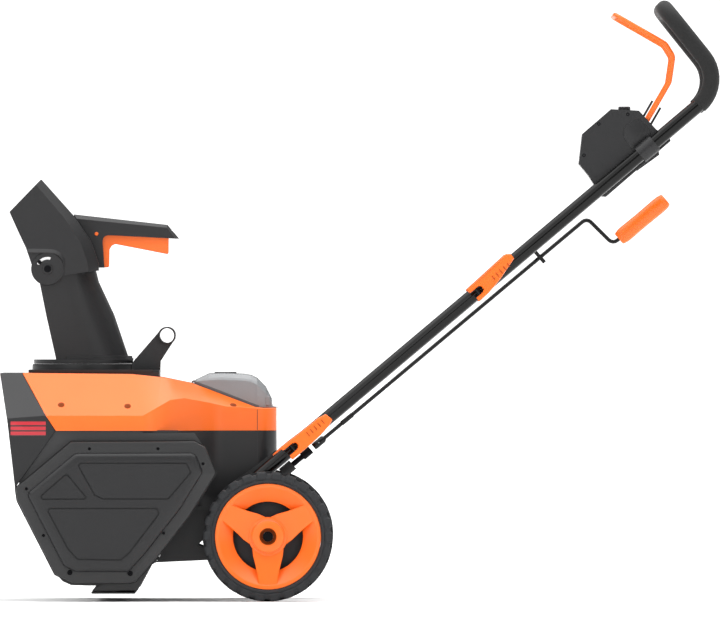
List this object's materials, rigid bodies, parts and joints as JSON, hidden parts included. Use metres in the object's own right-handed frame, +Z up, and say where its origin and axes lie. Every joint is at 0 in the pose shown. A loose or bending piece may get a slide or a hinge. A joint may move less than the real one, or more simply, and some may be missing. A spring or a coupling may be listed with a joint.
{
  "type": "single stage snowblower",
  "caption": "Walk-behind snow thrower: an auger in a side-belted housing feeds a turning chute with a tilting deflector, on spoked wheels with a folding handle and hand crank.",
  "frame": {"origin": "on the ground, under the middle of the machine's bounding box", "axes": "+X from the auger towards the operator's grip, +Y to the crank side, +Z up"},
  "size_m": [1.1516, 0.572, 0.9621],
  "materials": {
    "orange_plastic": "moulded satin",
    "orange_paint": "powder coated",
    "black_plastic": "moulded fine texture",
    "battery_plastic": "moulded",
    "smoke_lid": "tinted translucent",
    "tyre": "moulded tread",
    "rubber": "matte",
    "foam": "foam",
    "black_paint": "gloss",
    "steel": "zinc plated",
    "aluminium": "cast"
  },
  "bodies": {
    "chassis": {"auger_housing": "black_plastic", "side_plate_left": "black_paint", "side_plate_right": "black_paint", "belt_cover": "black_plastic", "right_side_cover": "black_plastic", "upper_cover": "orange_plastic", "front_hood": "black_plastic", "rear_housing": "black_plastic", "scraper_bar": "black_plastic", "deck_plate": "black_plastic", "carry_handle": "black_plastic", "battery_tray": "black_plastic", "battery_pack_left": "battery_plastic", "battery_pack_right": "battery_plastic", "lid_hinge_pin": "steel", "motor": "aluminium", "motor_controller": "aluminium", "drive_belt": "rubber", "auger_bearing_left": "steel", "auger_bearing_right": "steel", "wheel_axle": "steel", "axle_bracket_left": "black_plastic", "axle_bracket_right": "black_plastic", "handle_stub_left": "black_paint", "handle_stub_right": "black_paint", "chute_drive_sheath": "rubber"},
    "auger": {"auger_shaft": "steel", "auger_paddle": "rubber", "auger_pulley": "aluminium"},
    "motor_rotor": {"motor_pulley": "aluminium"},
    "idler": {"idler_pulley": "aluminium"},
    "chute": {"chute_ring_gear": "black_plastic", "discharge_chute": "black_plastic", "pivot_bolt_left": "steel", "pivot_bolt_right": "steel"},
    "pinion": {"drive_pinion": "steel"},
    "stub": {"stub_shaft": "steel"},
    "deflector": {"deflector": "black_plastic", "deflector_handle": "black_plastic"},
    "trigger": {"deflector_trigger": "orange_plastic"},
    "lid": {"battery_lid": "smoke_lid"},
    "wheel_left": {"tyre_left": "tyre", "wheel_rim_left": "orange_plastic"},
    "wheel_right": {"tyre_right": "tyre", "wheel_rim_right": "orange_plastic"},
    "lower_handle": {"lower_tube_left": "black_paint", "lower_tube_right": "black_paint"},
    "upper_handle": {"upper_handle": "black_paint", "foam_grip": "foam", "handle_crossbar": "black_paint", "control_box": "black_plastic", "bail_bracket": "black_plastic"},
    "lever_lower_left": {"lower_lever_left": "orange_plastic"},
    "lever_lower_right": {"lower_lever_right": "orange_plastic"},
    "lever_upper_left": {"upper_lever_left": "orange_plastic"},
    "lever_upper_right": {"upper_lever_right": "orange_plastic"},
    "crank": {"crank_rod": "black_paint"},
    "crank_knob": {"crank_grip": "orange_plastic"},
    "bail": {"bail": "orange_paint"},
    "button": {"start_button": "orange_plastic"}
  },
  "joints": [
    {"name": "auger_spin", "type": "hinge", "parent": "chassis", "child": "auger", "pos_m": [-0.44, 0, 0.14], "axis": [0, 1, 0], "continuous": true},
    {"name": "motor_spin", "type": "hinge", "parent": "chassis", "child": "motor_rotor", "pos_m": [-0.272, 0, 0.205], "axis": [0, 1, 0], "continuous": true},
    {"name": "idler_spin", "type": "hinge", "parent": "chassis", "child": "idler", "pos_m": [-0.31333, 0, 0.12455], "axis": [0, 1, 0], "continuous": true},
    {"name": "chute_rotation", "type": "hinge", "parent": "chassis", "child": "chute", "pos_m": [-0.444, 0, 0.38], "axis": [0, 0, 1], "range_deg": [-90, 90]},
    {"name": "pinion_spin", "type": "hinge", "parent": "chassis", "child": "pinion", "pos_m": [-0.3544, 0, 0.376], "axis": [0, 0, 1], "range_deg": [-540, 540]},
    {"name": "stub_spin", "type": "hinge", "parent": "chassis", "child": "stub", "pos_m": [-0.074, 0.082, 0.2456], "axis": [0.7666, 0, 0.6421], "range_deg": [-540, 540]},
    {"name": "deflector_tilt", "type": "hinge", "parent": "chute", "child": "deflector", "pos_m": [-0.501, 0, 0.5325], "axis": [0, -1, 0], "range_deg": [0, 45]},
    {"name": "trigger_squeeze", "type": "hinge", "parent": "deflector", "child": "trigger", "pos_m": [-0.423, 0, 0.592], "axis": [0, -1, 0], "range_deg": [0, 5], "stiffness_Nm_per_rad": 1.5, "springref_deg": -5.73},
    {"name": "lid_hinge", "type": "hinge", "parent": "chassis", "child": "lid", "pos_m": [-0.268, 0, 0.3514], "axis": [0, -1, 0], "range_deg": [0, 80]},
    {"name": "wheel_left_spin", "type": "hinge", "parent": "chassis", "child": "wheel_left", "pos_m": [-0.1464, 0, 0.104], "axis": [0, 1, 0], "continuous": true},
    {"name": "wheel_right_spin", "type": "hinge", "parent": "chassis", "child": "wheel_right", "pos_m": [-0.1464, 0, 0.104], "axis": [0, 1, 0], "continuous": true},
    {"name": "lower_fold", "type": "hinge", "parent": "chassis", "child": "lower_handle", "pos_m": [-0.1066, 0, 0.2461], "axis": [0, -1, 0], "range_deg": [0, 30]},
    {"name": "upper_fold", "type": "hinge", "parent": "lower_handle", "child": "upper_handle", "pos_m": [0.1896, 0, 0.4957], "axis": [0, 1, 0], "range_deg": [0, 95]},
    {"name": "lever_lower_left_swing", "type": "hinge", "parent": "lower_handle", "child": "lever_lower_left", "pos_m": [-0.1066, -0.24, 0.2461], "axis": [0.6444, 0, -0.7647], "range_deg": [0, 110]},
    {"name": "lever_lower_right_swing", "type": "hinge", "parent": "lower_handle", "child": "lever_lower_right", "pos_m": [-0.1066, 0.24, 0.2461], "axis": [-0.6444, 0, 0.7647], "range_deg": [0, 110]},
    {"name": "lever_upper_left_swing", "type": "hinge", "parent": "lower_handle", "child": "lever_upper_left", "pos_m": [0.1896, -0.24, 0.4957], "axis": [0.6444, 0, -0.7647], "range_deg": [0, 110]},
    {"name": "lever_upper_right_swing", "type": "hinge", "parent": "lower_handle", "child": "lever_upper_right", "pos_m": [0.1896, 0.24, 0.4957], "axis": [-0.6444, 0, 0.7647], "range_deg": [0, 110]},
    {"name": "crank_spin", "type": "hinge", "parent": "upper_handle", "child": "crank", "pos_m": [-0.074, 0.082, 0.2456], "axis": [0.7666, 0, 0.6421], "range_deg": [-540, 540]},
    {"name": "crank_grip_spin", "type": "hinge", "parent": "crank", "child": "crank_knob", "pos_m": [0.41818, 0.082, 0.58103], "axis": [0.7665, 0, 0.6422], "continuous": true},
    {"name": "bail_squeeze", "type": "hinge", "parent": "upper_handle", "child": "bail", "pos_m": [0.4504, 0, 0.7512], "axis": [0, 1, 0], "range_deg": [0, 17], "stiffness_Nm_per_rad": 3, "springref_deg": -8.59},
    {"name": "start_press", "type": "slide", "parent": "upper_handle", "child": "button", "axis": [0, 0, -1], "range_m": [0, 0.004], "stiffness_N_per_m": 300, "springref_m": -0.002}
  ],
  "couplings": [
    {"joint": "motor_spin", "follows": "auger_spin", "ratio": 3.7},
    {"joint": "idler_spin", "follows": "auger_spin", "ratio": -5.2857},
    {"joint": "pinion_spin", "follows": "chute_rotation", "ratio": -6},
    {"joint": "stub_spin", "follows": "chute_rotation", "ratio": -6},
    {"joint": "crank_spin", "follows": "chute_rotation", "ratio": -6}
  ]
}
